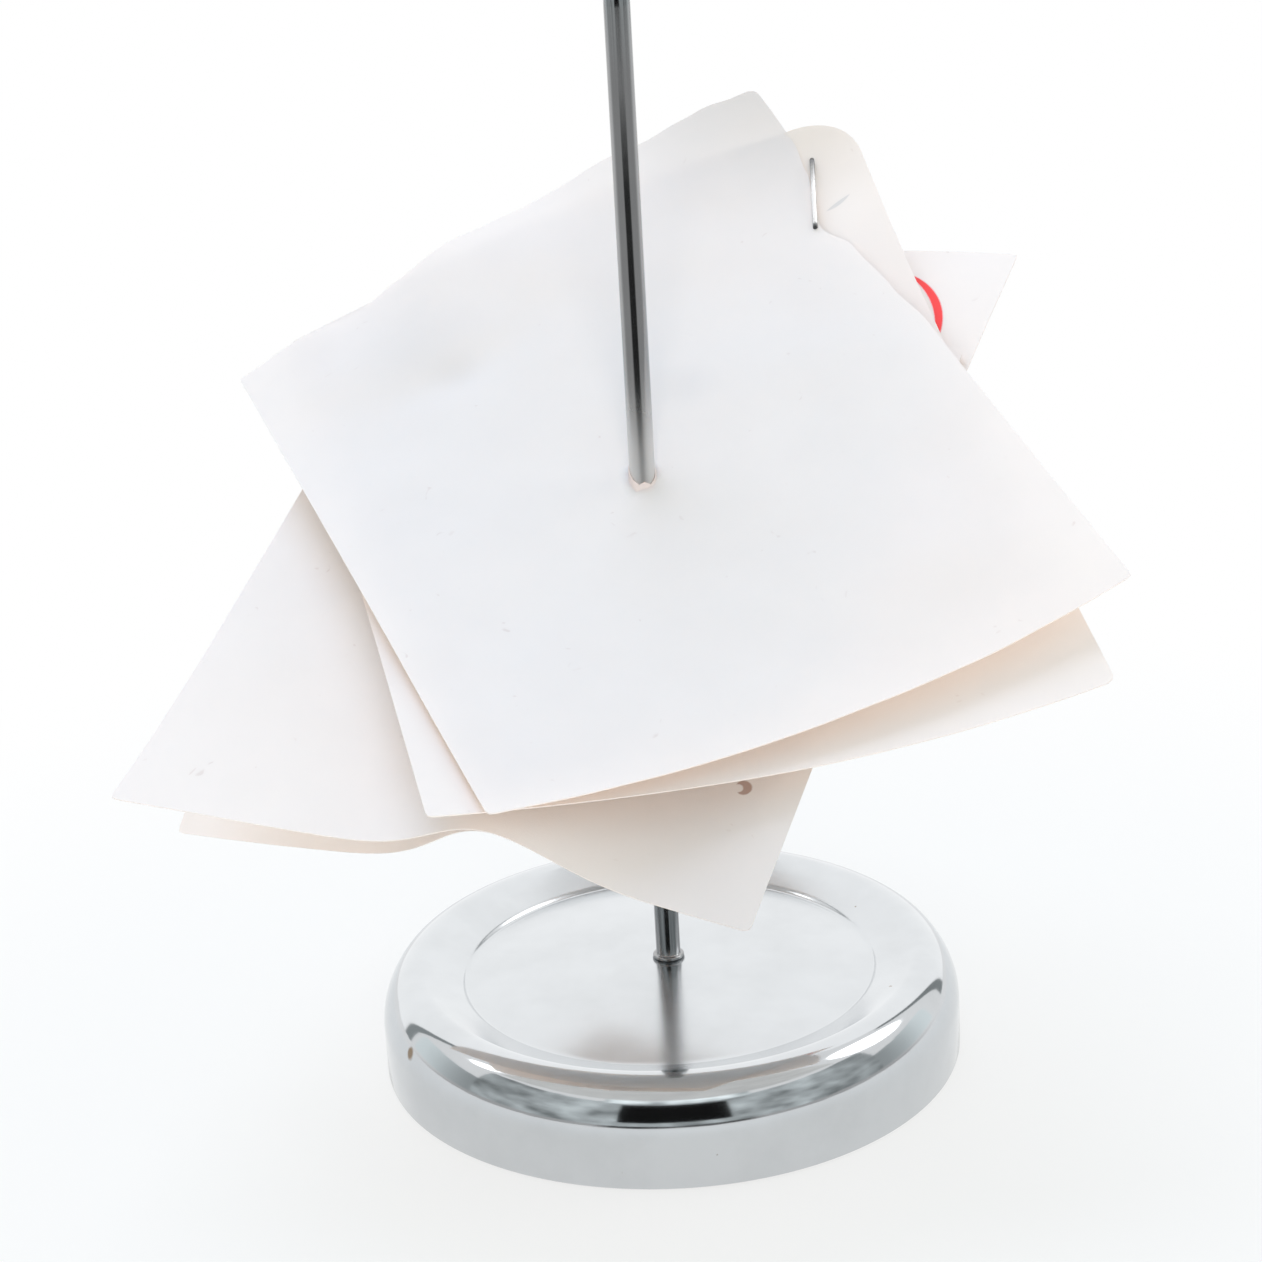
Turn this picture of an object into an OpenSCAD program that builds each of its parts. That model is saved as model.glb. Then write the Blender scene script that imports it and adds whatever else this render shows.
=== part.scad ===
// Bill spike: an upright wire on a weighted round base, with four paper bills pushed onto it.
// Millimetres, Z up. The spike stands on the Z axis and the foot pad's underside is Z = 0.

/* [Base shell] */
// Outside diameter of the base
base_d = 76; // [60:1:110]
// Height of the rim's crest above the table
base_h = 13.7; // [12:0.1:24]
// Height of the skirt's lower edge above the table
skirt_lift = 0.5; // [0.3:0.1:1]
// Width of the rim from its crest to the skirt's outside
shoulder_w = 4.9; // [4.2:0.1:6]
// Radius of the rim's crest on its outer side
crest_round = 3.8; // [3.4:0.1:4.4]
// Angle over the crest where the side's larger round takes over
roll_over = 52; // [40:1:58]
// Radius of the rim's crest on its inner side
inner_round = 3.3; // [2:0.1:3.4]
// Slope of the flank between the rim and the dish, in degrees from level
dish_slope = 21; // [17:1:35]
// Depth of the flank's foot below the crest
dish_drop = 2; // [1.7:0.05:3.5]
// Width of the small step round the dish
step_w = 0.4; // [0.2:0.1:0.8]
// Depth of the small step round the dish
step_h = 0.5; // [0.2:0.1:1]
// Rise of the dish from its edge to its middle
dish_rise = 1.95; // [0.5:0.05:2.4]
// Thickness of the pressed sheet
shell_t = 0.8; // [0.5:0.1:1.2]

/* [Spike] */
// Diameter of the wire
spike_d = 3.2; // [2:0.1:5]
// Height of the point above the table
spike_h = 152; // [120:1:220]
// Length of the ground point
point_len = 14; // [6:1:25]
// Diameter of the blunted tip
tip_d = 0.4; // [0.2:0.1:1]
// Diameter of the upset bead at the foot, past the wire's own
bead_over = 0.9; // [0.4:0.1:2]
// Height of the bead
bead_h = 0.5; // [0.3:0.1:1.5]

/* [Fixing] */
// Diameter of the tenon under the bead
tenon_d = 3; // [2:0.1:4]
// Radial clearance round the tenon
tenon_clear = 0.1; // [0.05:0.05:0.3]
// Width of the nut across its flats
nut_af = 5.5; // [4.5:0.1:8]
// Thickness of the nut
nut_t = 2.4; // [1.6:0.1:3.2]
// Thickness of the washer
washer_t = 0.5; // [0.3:0.1:1]
// Width of the washer's rim past the nut's corners
washer_over = 0.5; // [0.2:0.1:1]
// Length of tenon past the nut
tenon_over = 0.6; // [0.2:0.1:1.2]

/* [Ballast and underside] */
// Gap between the ballast and the shell round it
ballast_gap = 0.5; // [0.3:0.1:1]
// Chamfer on the ballast's edges
ballast_chamfer = 0.8; // [0.4:0.1:1.5]
// Radius of the flat seat under the bead
seat_r = 5; // [4:0.5:7]
// Side clearance round the nut and washer in the ballast
recess_clear = 1; // [0.5:0.1:2]
// Thickness of the bottom plate
plate_t = 0.8; // [0.5:0.1:1.2]
// Gap between the bottom plate and the skirt
plate_gap = 0.15; // [0.1:0.05:0.4]
// Thickness of the foot pad
pad_t = 1.5; // [1.2:0.1:3]
// Set-back of the foot pad from the skirt's outside
pad_inset = 2.5; // [1.5:0.5:6]

/* [Bills] */
// Width of the bill roll
bill_w = 80; // [57:1:90]
// Thickness of a bill
bill_t = 0.2; // [0.15:0.05:0.3]
// Radial clearance of a bill's hole on the wire
hole_clear = 0.3; // [0.2:0.05:0.6]
// Height of the lowest bill's hole on the spike
stack_z = 72; // [64:1:80]
// Tilt of the stack from level
stack_tilt = 31; // [20:1:34]
// Bearing of the stack's low side
stack_bearing = -100; // [-180:1:180]

/* [Lowest bill] */
// Length of the bill
lowest_len = 104; // [80:1:120]
// Hole's distance from the left edge and from the lower edge
lowest_hole = [49, 48]; // [20:1:60]
// Spin in its own plane, then extra tilt and bearing
lowest_set = [-11, 0.5, -6]; // [-90:0.5:90]

/* [Left bill] */
// Length of the bill
left_len = 91; // [80:1:120]
// Hole's distance from the left edge and from the lower edge
left_hole = [48, 57]; // [20:1:60]
// Spin in its own plane, then extra tilt and bearing
left_set = [-13, 0, 0]; // [-90:0.5:90]
// Height of its hole above the lowest bill's
left_step = 2.5; // [2.5:0.5:8]

/* [Under bill] */
// Length of the bill
under_len = 100; // [80:1:120]
// Hole's distance from the left edge and from the lower edge
under_hole = [37, 49]; // [20:1:60]
// Spin in its own plane, then extra tilt and bearing
under_set = [19, 1.5, 3]; // [-90:0.5:90]
// Height of its hole above the left bill's
under_step = 2.5; // [2.5:0.5:8]

/* [Top bill] */
// Length of the bill
top_len = 101; // [80:1:120]
// Hole's distance from the left edge and from the lower edge
top_hole = [38, 47]; // [20:1:60]
// Spin in its own plane, then extra tilt and bearing
top_set = [32, 1, -2]; // [-90:0.5:90]
// Height of its hole above the under bill's
top_step = 2; // [2:0.5:4]

/* [Staple] */
// Outside width of the crown
staple_w = 12; // [9:0.5:13]
// Thickness of the wire
staple_wire = 0.65; // [0.4:0.05:0.7]
// Length of each clinched leg under the bills
clinch_len = 4; // [3:0.5:5]
// Middle of the crown, from the under bill's right edge and from its upper edge
staple_inset = [8, 12]; // [4:0.5:20]
// Turn of the crown in the under bill's plane
staple_turn = 74; // [-90:1:90]
// Gap between the crown and the top bill
staple_seat = 0.15; // [0.05:0.05:0.3]
// Clearance of the legs in the paper
slit_clear = 0.1; // [0.05:0.05:0.2]

/* [Hidden] */
$fn = 96;

// A cut runs past the face it opens by this much
over = 1;

// Rim and dish
base_r = base_d / 2;
crest_r = base_r - shoulder_w;
side_round = (shoulder_w - crest_round * sin(roll_over)) / (1 - sin(roll_over));
side_r = base_r - side_round;
side_z = base_h - crest_round + (crest_round - side_round) * cos(roll_over);
flank_r = crest_r - inner_round * sin(dish_slope);
flank_z = base_h - inner_round + inner_round * cos(dish_slope);
step_z = base_h - dish_drop;
step_r = flank_r - (flank_z - step_z) / tan(dish_slope);
step_slope = atan(step_h / step_w);
edge_r = step_r - step_w;
edge_z = step_z - step_h;
dome_r = (edge_r * edge_r + dish_rise * dish_rise) / (2 * dish_rise);
dome_z = edge_z + dish_rise - dome_r;
dome_slope = -asin(edge_r / dome_r);
seat_z = dome_z + sqrt(dome_r * dome_r - seat_r * seat_r);

// How far a corner between two slopes moves when the skin is set in
function corner(a, b, inset) = inset / cos((a - b) / 2) * [sin((a + b) / 2), -cos((a + b) / 2)];

// Foot of the spike
bead_r = (spike_d + bead_over) / 2;

// Underside, from the table up
plate_top = pad_t + plate_t;
plate_r = base_r - shell_t - plate_gap;
ballast_r = base_r - shell_t - ballast_gap;
ballast_top = edge_z - shell_t - ballast_gap;
ballast_bevel = max(ballast_chamfer, ballast_top - side_z);

// Fixing, from the ballast's recess down
nut_d = nut_af / cos(30);
washer_d = nut_d + 2 * washer_over;
nut_low = plate_top + tenon_over + tenon_clear;
washer_low = nut_low + nut_t;
recess_top = washer_low + washer_t;
recess_d = washer_d + 2 * recess_clear;

// Bills: each bend is a curvature, a bearing in the sheet and a start from the hole, in roll widths
cells = 14;
hole_d = spike_d + 2 * hole_clear;
lowest_bends = [[0.08, -55, 0.2], [-0.72, 135, 0.03], [0.08, 55, 0.2], [-0.72, 235, 0.01]];
left_bends = [[0.32, -105, 0.08], [-0.6, 140, 0.04], [0.24, 35, 0.15], [-0.48, 215, 0.16]];
under_bends = [[0.32, -25, 0.24], [-0.52, 140, 0.04], [0.24, 70, 0.12], [0.72, 225, 0.03]];
top_bends = [[0.36, -25, 0.24], [-0.52, 130, 0.11], [0.32, 75, 0.24], [0.6, 210, -0.03]];
left_z = stack_z + left_step;
under_z = left_z + under_step;
top_z = under_z + top_step;

function total(list, i = 0) = i < len(list) ? list[i] + total(list, i + 1) : 0;

// How far a bent sheet stands off its own plane at a place measured from the hole
function reach(bend, at) = (at.x * cos(bend[1]) + at.y * sin(bend[1])) / bill_w - bend[2];
function rise(bends, at) = bill_w / 2 * total([for (b = bends) b[0] * pow(max(0, reach(b, at)), 2)]);

// A point of a bill's own plane where it hangs on the spike, and the way back
function turn_x(a, p) = [p.x, p.y * cos(a) - p.z * sin(a), p.y * sin(a) + p.z * cos(a)];
function turn_z(a, p) = [p.x * cos(a) - p.y * sin(a), p.x * sin(a) + p.y * cos(a), p.z];
function tilt(set) = stack_tilt + set[1];
function bearing(set) = stack_bearing + set[2] + 90;
function hung(z, set, p) = [0, 0, z] + turn_z(bearing(set), turn_x(tilt(set), turn_z(set[0], p)));
function unhung(z, set, p) = turn_z(-set[0], turn_x(-tilt(set), turn_z(-bearing(set), p - [0, 0, z])));

// How far the top bill stands over a place of the under bill
function cover(at) =
    let (p = unhung(top_z, top_set, hung(under_z, under_set, [at.x, at.y, rise(under_bends, at)])))
        rise(top_bends, p) - p.z;

// Staple, in the under bill's own plane
staple_mid = [bill_w, under_len] - under_hole - staple_inset;
staple_half = staple_w / 2 * [cos(staple_turn), sin(staple_turn)];
staple_low = staple_mid - staple_half;
staple_high = staple_mid + staple_half;
staple_climb = rise(under_bends, staple_high) - rise(under_bends, staple_low);
staple_rise = max(cover(staple_low), cover(staple_mid), cover(staple_high)) + bill_t / 2 + staple_seat;

// The solid under the shell's skin, set in by a wall's thickness
module under_skin(inset) {
    foot = [edge_r, edge_z] + corner(step_slope, dome_slope, inset);
    lean = 90 - roll_over;
    translate([0, skirt_lift]) square([base_r - inset, side_z - skirt_lift]);
    translate([side_r, side_z]) intersection() {
        circle(r = side_round - inset);
        polygon(2 * side_round * [[0, 0], [cos(lean), -sin(lean)], [cos(lean), sin(lean)]]);
    }
    intersection() {
        translate([crest_r, base_h - crest_round]) circle(r = crest_round - inset);
        translate([crest_r, skirt_lift]) square([shoulder_w, base_h]);
    }
    translate([crest_r, base_h - inner_round]) circle(r = inner_round - inset);
    polygon([
        [crest_r, base_h - inner_round],
        [flank_r, flank_z] + corner(dish_slope, dish_slope, inset),
        [step_r, step_z] + corner(dish_slope, step_slope, inset),
        foot,
        [0, skirt_lift],
        [crest_r, skirt_lift]
    ]);
    intersection() {
        translate([0, dome_z]) circle(r = dome_r - inset);
        translate([0, skirt_lift]) square([foot.x, seat_z - inset - skirt_lift]);
    }
}

module base_shell() {
    color("silver") difference() {
        rotate_extrude() under_skin(0);
        rotate_extrude() under_skin(shell_t);
        cylinder(r = base_r - shell_t, h = skirt_lift + over);
        cylinder(d = tenon_d + 2 * tenon_clear, h = seat_z + over);
    }
}

module ballast_weight() {
    color("dimgray") difference() {
        union() {
            rotate_extrude() polygon([
                [0, plate_top],
                [ballast_r - ballast_chamfer, plate_top],
                [ballast_r, plate_top + ballast_chamfer],
                [ballast_r, ballast_top - ballast_bevel],
                [ballast_r - ballast_bevel, ballast_top],
                [0, ballast_top]
            ]);
            translate([0, 0, ballast_top - over])
                cylinder(r = seat_r, h = seat_z - shell_t - ballast_top + over);
        }
        cylinder(d = recess_d, h = recess_top);
        cylinder(d = tenon_d + 2 * tenon_clear, h = seat_z + over);
    }
}

module bottom_plate() {
    color("gray") translate([0, 0, pad_t]) cylinder(r = plate_r, h = plate_t);
}

module foot_pad() {
    color("black") cylinder(r = base_r - pad_inset, h = pad_t);
}

module spike() {
    color("lightgray") {
        translate([0, 0, nut_low - tenon_over])
            cylinder(d = tenon_d, h = seat_z + over - nut_low + tenon_over);
        rotate_extrude() translate([0, seat_z]) {
            square([bead_r, bead_h / 2]);
            square([bead_r - bead_h / 2, bead_h]);
            translate([bead_r - bead_h / 2, bead_h / 2]) circle(d = bead_h);
        }
        rotate_extrude() polygon([
            [0, seat_z],
            [spike_d / 2, seat_z],
            [spike_d / 2, spike_h - point_len],
            [tip_d / 2, spike_h],
            [0, spike_h]
        ]);
    }
}

module washer() {
    color("gray") translate([0, 0, washer_low]) difference() {
        cylinder(d = washer_d, h = washer_t);
        translate([0, 0, -over]) cylinder(d = tenon_d + 2 * tenon_clear, h = washer_t + 2 * over);
    }
}

module nut() {
    color("gray") translate([0, 0, nut_low]) difference() {
        cylinder(d = nut_d, h = nut_t, $fn = 6);
        translate([0, 0, -over]) cylinder(d = tenon_d + 2 * tenon_clear, h = nut_t + 2 * over);
    }
}

// Puts a bill's own plane where it hangs on the spike
module hang(z, set) {
    translate([0, 0, z])
        rotate([0, 0, bearing(set)])
            rotate([tilt(set), 0, 0])
                rotate([0, 0, set[0]])
                    children();
}

// A bent sheet as a closed skin of two faces and four edges
module sheet(size, hole, bends) {
    step = size / cells;
    row = cells + 1;
    lower = row * row;
    points = [
        for (side = [1, -1]) for (j = [0 : cells]) for (i = [0 : cells])
            let (at = [i * step.x, j * step.y] - hole)
                [at.x, at.y, rise(bends, at) + side * bill_t / 2]
    ];
    quads = [
        for (j = [0 : cells - 1]) for (i = [0 : cells - 1])
            let (a = j * row + i)
                each [
                    [a, a + row, a + row + 1, a + 1],
                    [a + lower, a + 1 + lower, a + row + 1 + lower, a + row + lower]
                ]
    ];
    edges = [
        for (i = [0 : cells - 1])
            let (front = i, back = cells * row + i, left = i * row, right = i * row + cells)
                each [
                    [front + lower, front, front + 1, front + 1 + lower],
                    [back + 1 + lower, back + 1, back, back + lower],
                    [left + row + lower, left + row, left, left + lower],
                    [right + lower, right, right + row, right + row + lower]
                ]
    ];
    faces = [for (q = concat(quads, edges)) each [[q[0], q[1], q[2]], [q[0], q[2], q[3]]]];
    polyhedron(points = points, faces = faces);
}

// One bill with its hole punched straight along the spike
module bill(z, len, hole, set, bends) {
    difference() {
        hang(z, set) sheet([bill_w, len], hole, bends);
        cylinder(d = hole_d, h = spike_h);
    }
}

module lowest_bill() {
    color("white") bill(stack_z, lowest_len, lowest_hole, lowest_set, lowest_bends);
}

module left_bill() {
    color("white") bill(left_z, left_len, left_hole, left_set, left_bends);
}

module under_bill() {
    color("white") difference() {
        bill(under_z, under_len, under_hole, under_set, under_bends);
        staple_frame() staple_legs(slit_clear);
    }
}

module top_bill() {
    color("white") difference() {
        bill(top_z, top_len, top_hole, top_set, top_bends);
        staple_frame() staple_legs(slit_clear);
    }
}

// The staple's own frame: its crown along X, square to the under bill where it is pinned
module staple_frame() {
    hang(under_z, under_set)
        translate([staple_mid.x, staple_mid.y, rise(under_bends, staple_mid)])
            rotate([0, 0, staple_turn])
                rotate([0, -atan(staple_climb / staple_w), 0])
                    children();
}

module staple_legs(clear) {
    wire = staple_wire + 2 * clear;
    for (side = [-1, 1])
        translate([side * (staple_w - staple_wire) / 2, 0, (staple_rise - bill_t) / 2])
            cube([wire, wire, staple_rise + bill_t + 2 * staple_wire], center = true);
}

module staple() {
    color("silver") staple_frame() {
        staple_legs(0);
        translate([0, 0, staple_rise + staple_wire / 2])
            cube([staple_w, staple_wire, staple_wire], center = true);
        for (side = [-1, 1])
            translate([side * (staple_w - clinch_len) / 2, 0, -bill_t - staple_wire / 2])
                cube([clinch_len, staple_wire, staple_wire], center = true);
    }
}

base_shell();
ballast_weight();
bottom_plate();
foot_pad();
spike();
washer();
nut();
lowest_bill();
left_bill();
under_bill();
top_bill();
staple();
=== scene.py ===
import math
import bmesh
import bpy
from mathutils import Matrix, Vector, noise


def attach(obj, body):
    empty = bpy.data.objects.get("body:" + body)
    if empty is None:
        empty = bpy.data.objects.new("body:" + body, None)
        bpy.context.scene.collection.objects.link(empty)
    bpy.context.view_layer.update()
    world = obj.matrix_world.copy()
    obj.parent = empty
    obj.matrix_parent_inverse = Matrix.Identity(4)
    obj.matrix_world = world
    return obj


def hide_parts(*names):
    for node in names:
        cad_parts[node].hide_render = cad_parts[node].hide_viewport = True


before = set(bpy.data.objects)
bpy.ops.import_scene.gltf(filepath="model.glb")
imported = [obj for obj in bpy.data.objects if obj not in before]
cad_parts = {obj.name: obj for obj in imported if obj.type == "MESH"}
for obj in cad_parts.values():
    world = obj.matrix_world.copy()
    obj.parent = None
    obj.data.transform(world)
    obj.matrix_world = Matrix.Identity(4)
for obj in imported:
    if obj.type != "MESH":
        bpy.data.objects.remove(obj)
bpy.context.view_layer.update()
scene = bpy.context.scene
scene.view_settings.view_transform = "Standard"
mm = 0.001
sheetUnit = 100  # millimetres to one unit of a bill's own map
weldGap = 1e-6


# camera, fitted to the base's ellipses in the picture
cameraFit = {
    "place": (-2.52, -344.81, 184.2),
    "right": (0.9984, -0.0195, -0.0536),
    "up": (0.057, 0.3412, 0.9383),
    "lens": 82.73,
    "sensor": 36.0,
    "clip": (0.01, 50),
}


def setCamera():
    data = bpy.data.cameras.new("photoCamera")
    data.lens = cameraFit["lens"]
    data.sensor_width = cameraFit["sensor"]
    data.clip_start, data.clip_end = cameraFit["clip"]
    right = Vector(cameraFit["right"]).normalized()
    up = Vector(cameraFit["up"])
    up = (up - right * up.dot(right)).normalized()
    back = right.cross(up)
    turn = Matrix((right, up, back)).transposed().to_4x4()
    camera = bpy.data.objects.new("photoCamera", data)
    camera.matrix_world = Matrix.Translation(Vector(cameraFit["place"]) * mm) @ turn
    scene.collection.objects.link(camera)
    scene.camera = camera
    print("camera set")


# small helpers for node trees
def newMaterial(name):
    material = bpy.data.materials.new(name)
    material.use_nodes = True
    tree = material.node_tree
    return material, tree, tree.nodes["Principled BSDF"]


def addNode(tree, kind, values=None, **settings):
    node = tree.nodes.new(kind)
    for key, value in settings.items():
        setattr(node, key, value)
    for key, value in (values or {}).items():
        node.inputs[key].default_value = value
    return node


def addMath(tree, operation, second=None):
    return addNode(tree, "ShaderNodeMath", {} if second is None else {1: second}, operation=operation)


def addNoise(tree, scale, detail, **more):
    return addNode(tree, "ShaderNodeTexNoise", {"Scale": scale, "Detail": detail, **more})


def addRange(tree, fromMin, fromMax, toMin, toMax, smooth=False):
    return addNode(
        tree, "ShaderNodeMapRange",
        {"From Min": fromMin, "From Max": fromMax, "To Min": toMin, "To Max": toMax},
        interpolation_type="SMOOTHSTEP" if smooth else "LINEAR")


def addRamp(tree, first, last):
    ramp = addNode(tree, "ShaderNodeValToRGB")
    for index, (position, colour) in enumerate((first, last)):
        ramp.color_ramp.elements[index].position = position
        ramp.color_ramp.elements[index].color = colour
    return ramp


def addBump(tree, strength, depth):
    return addNode(tree, "ShaderNodeBump", {"Strength": strength, "Distance": depth * mm})


# mixes towards a colour: the share goes in at 0, what it covers at 6, and the result comes out at 2
def addCover(tree, colour):
    return addNode(tree, "ShaderNodeMix", {7: colour}, data_type="RGBA")


def joinUp(tree, *pairs):
    for start, end in pairs:
        tree.links.new(start, end)


# small helpers for meshes
def pick(items, kind):
    return [item for item in items if isinstance(item, kind)]


def newObject(bm, name, material):
    mesh = bpy.data.meshes.new(name)
    bm.to_mesh(mesh)
    bm.free()
    mesh.materials.append(material)
    made = bpy.data.objects.new(name, mesh)
    scene.collection.objects.link(made)
    return made


def finishPiece(bm, name, body, material, stands, smoothAngle=None):
    piece = newObject(bm, name, material)
    for polygon in piece.data.polygons:
        polygon.use_smooth = True
    if smoothAngle is not None:
        piece.data.set_sharp_from_angle(angle=math.radians(smoothAngle))
    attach(piece, body)
    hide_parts(*stands)
    return piece


# a profile is drawn vertex by vertex in the XZ plane, then turned round the Z axis
def startLine(bm, r, z):
    return bm.verts.new((r * mm, 0, z * mm))


def lineTo(bm, vert, r, z):
    out = bmesh.ops.extrude_vert_indiv(bm, verts=[vert])["verts"][0]
    out.co = Vector((r, 0, z)) * mm
    return out


def arcTo(bm, vert, centre, degrees, steps):
    out = bmesh.ops.spin(
        bm, geom=[vert], cent=Vector((centre[0], 0, centre[1])) * mm, axis=(0, 1, 0),
        dvec=(0, 0, 0), angle=math.radians(-degrees), steps=steps, use_merge=False)
    return pick(out["geom_last"], bmesh.types.BMVert)[0]


def turnProfile(bm, steps):
    bmesh.ops.spin(
        bm, geom=bm.verts[:] + bm.edges[:], cent=(0, 0, 0), axis=(0, 0, 1), dvec=(0, 0, 0),
        angle=math.tau, steps=steps, use_merge=True)
    bmesh.ops.remove_doubles(bm, verts=bm.verts, dist=weldGap)
    bmesh.ops.recalc_face_normals(bm, faces=bm.faces)


# bright plating: a slightly cloudy mirror, with hairlines round the base and along the wire
plating = {
    "baseTint": (0.63, 0.65, 0.667, 1),
    "baseRough": (0.06, 0.1),
    "baseHair": (60, 60, 1400),
    # the wire's tint is set well darker than the base's plating, as painted shade for the rod's darker look
    "wireShadedTint": (0.37, 0.375, 0.38, 1),
    "wireRough": (0.07, 0.17),
    "wireHair": (2600, 2600, 40),
    "hairShare": 0.35,
    "hairBump": (0.035, 0.1),  # strength and depth
    "cloudScale": 90,
    "cloudRange": (0.3, 0.62),
    "cloudy": 0.93,  # share of the tint that is left where it is cloudy
}
# the dish is rubbed duller inside a ring, with a few pits and one spot of rust on the rim
dishWear = {
    "ring": (32.5, 29.5),
    "rough": 0.1,
    "pitScale": 520,
    "pitRange": (0.8, 0.83),
    "pitShare": 0.5,
    "rust": (0.2, 0.12, 0.045, 1),
    "rustAt": (-33.7, -16.8, 9.7),
    "rustReach": (1.5, 1.0),
    "rustRagged": 1.1,
    "rustShare": 0.85,
}
# the bills rub the wire dull, and a painted sheen lightens its tint there; both fade upward and downward
# between these heights
wireScuffAndSheen = {
    "upper": (95.0, 80.5),
    "lower": (48.0, 76.0),
    "rough": 0.3,
    "tint": (0.7, 0.695, 0.68, 1),
}


def wearDish(tree, place, colour, rough):
    ringOut, ringIn = dishWear["ring"]
    spotOut, spotIn = dishWear["rustReach"]
    flat = addNode(tree, "ShaderNodeVectorMath", {1: (1, 1, 0)}, operation="MULTIPLY")
    spread = addNode(tree, "ShaderNodeVectorMath", operation="LENGTH")
    rubbedOrLit = addRange(tree, ringOut * mm, ringIn * mm, 0, dishWear["rough"])
    total = addMath(tree, "ADD")
    pits = addNoise(tree, dishWear["pitScale"], 2)
    pitMask = addRange(tree, *dishWear["pitRange"], 0, dishWear["pitShare"])
    rustAt = [part * mm for part in dishWear["rustAt"]]
    away = addNode(tree, "ShaderNodeVectorMath", {1: rustAt}, operation="DISTANCE")
    ragged = addMath(tree, "MULTIPLY_ADD", dishWear["rustRagged"] * mm)
    spot = addRange(tree, spotOut * mm, spotIn * mm, 0, dishWear["rustShare"])
    either = addMath(tree, "MAXIMUM")
    stain = addCover(tree, dishWear["rust"])
    joinUp(
        tree,
        (place, flat.inputs[0]),
        (flat.outputs["Vector"], spread.inputs[0]),
        (spread.outputs["Value"], rubbedOrLit.inputs["Value"]),
        (rubbedOrLit.outputs["Result"], total.inputs[0]),
        (rough, total.inputs[1]),
        (place, pits.inputs["Vector"]),
        (place, away.inputs[0]),
        (pits.outputs["Fac"], pitMask.inputs["Value"]),
        (pits.outputs["Fac"], ragged.inputs[0]),
        (away.outputs["Value"], ragged.inputs[2]),
        (ragged.outputs[0], spot.inputs["Value"]),
        (pitMask.outputs["Result"], either.inputs[0]),
        (spot.outputs["Result"], either.inputs[1]),
        (either.outputs[0], stain.inputs[0]),
        (colour, stain.inputs[6]),
    )
    return stain.outputs[2], total.outputs[0]


# rougher where the bills rub, with a painted sheen lightening the tint in the same band
def scuffAndSheenWire(tree, place, colour, rough):
    split = addNode(tree, "ShaderNodeSeparateXYZ")
    upper = addRange(tree, *[height * mm for height in wireScuffAndSheen["upper"]], 0, 1, smooth=True)
    lower = addRange(tree, *[height * mm for height in wireScuffAndSheen["lower"]], 0, 1, smooth=True)
    both = addMath(tree, "MULTIPLY")
    total = addMath(tree, "MULTIPLY_ADD", wireScuffAndSheen["rough"])
    rubbedOrLit = addCover(tree, wireScuffAndSheen["tint"])
    joinUp(
        tree,
        (place, split.inputs["Vector"]),
        (split.outputs["Z"], upper.inputs["Value"]),
        (split.outputs["Z"], lower.inputs["Value"]),
        (upper.outputs["Result"], both.inputs[0]),
        (lower.outputs["Result"], both.inputs[1]),
        (both.outputs[0], total.inputs[0]),
        (rough, total.inputs[2]),
        (both.outputs[0], rubbedOrLit.inputs[0]),
        (colour, rubbedOrLit.inputs[6]),
    )
    return rubbedOrLit.outputs[2], total.outputs[0]


def makePlating(name, tint, roughRange, hairScale, addWearAndSheen):
    material, tree, shader = newMaterial(name)
    shader.inputs["Metallic"].default_value = 1
    place = addNode(tree, "ShaderNodeTexCoord").outputs["Object"]
    cloud = addNoise(tree, plating["cloudScale"], 5, Roughness=0.6)
    hairMap = addNode(tree, "ShaderNodeMapping", {"Scale": hairScale})
    hair = addNoise(tree, 1, 3, Roughness=0.7)
    blend = addMath(tree, "MULTIPLY_ADD", plating["hairShare"])
    rough = addRange(tree, 0.35, 1.0, *roughRange)  # the usual span of the blended noise
    bump = addBump(tree, *plating["hairBump"])
    cloudy = [plating["cloudy"] * part for part in tint[:3]] + [1]
    low, high = plating["cloudRange"]
    shade = addRamp(tree, (low, cloudy), (high, tint))
    colour, roughness = addWearAndSheen(tree, place, shade.outputs["Color"], rough.outputs["Result"])
    joinUp(
        tree,
        (place, cloud.inputs["Vector"]),
        (place, hairMap.inputs["Vector"]),
        (hairMap.outputs["Vector"], hair.inputs["Vector"]),
        (hair.outputs["Fac"], blend.inputs[0]),
        (cloud.outputs["Fac"], blend.inputs[2]),
        (blend.outputs[0], rough.inputs["Value"]),
        (hair.outputs["Fac"], bump.inputs["Height"]),
        (bump.outputs["Normal"], shader.inputs["Normal"]),
        (cloud.outputs["Fac"], shade.inputs["Fac"]),
        (colour, shader.inputs["Base Color"]),
        (roughness, shader.inputs["Roughness"]),
    )
    return material


# base: skirt, rolled rim, flank, small step and domed dish as one thin pressing
shellSize = {
    "radius": 38.0,
    "skirtLift": 0.5,
    "height": 13.7,
    "crest": 33.1,  # radius of the rim's highest circle
    "crestRound": 3.8,
    "rollOver": 52.0,  # the crest's round ends at this angle, where the side's larger round takes over
    "innerRound": 3.3,
    "slope": 21.0,
    "dishDrop": 2.0,  # from the crest to the flank's foot
    "stepWide": 0.4,
    "stepDeep": 0.5,
    "stepRound": 0.25,
    "dishRise": 1.95,
    "wall": 0.8,
    "seat": 5.0,
    "hole": 1.6,
    "edgeEase": 0.15,
    "easeAngle": 60,
    "around": 224,
    "arcSteps": 20,
    "innerSteps": 14,
}


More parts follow.
